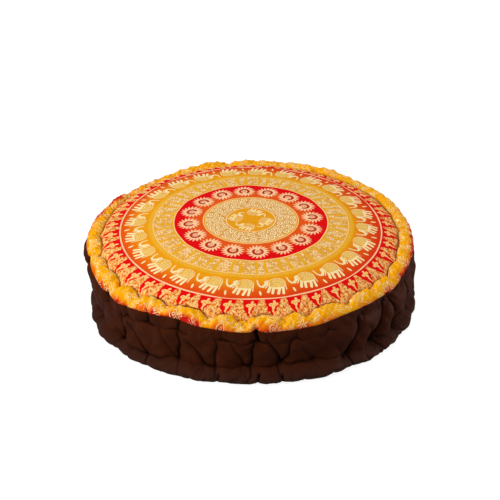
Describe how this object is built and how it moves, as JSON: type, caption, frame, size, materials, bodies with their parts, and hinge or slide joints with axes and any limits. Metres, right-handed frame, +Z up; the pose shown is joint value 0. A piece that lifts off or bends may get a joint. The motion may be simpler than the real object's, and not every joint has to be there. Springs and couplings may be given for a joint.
{
  "type": "floor pouf",
  "caption": "Round floor pouf with a crowned printed cotton top, a stuffed stitched roll round the rim, and a plain brown side drawn in by tufting stitches.",
  "frame": {"origin": "centre of the base, on the surface that the pouf stands on", "axes": "+Z up through the crown, -Y towards the front of the pictured view, +X to its right"},
  "size_m": [0.6041, 0.5999, 0.15],
  "materials": {
    "printed_cotton": "plain-woven cotton printed with rings of red, orange, gold and cream",
    "brown_cotton": "plain-woven dark brown cotton with a faint sheen"
  },
  "bodies": {
    "root": {"printed_top": "printed_cotton", "filled_side": "brown_cotton", "base_panel": "brown_cotton"}
  },
  "joints": []
}
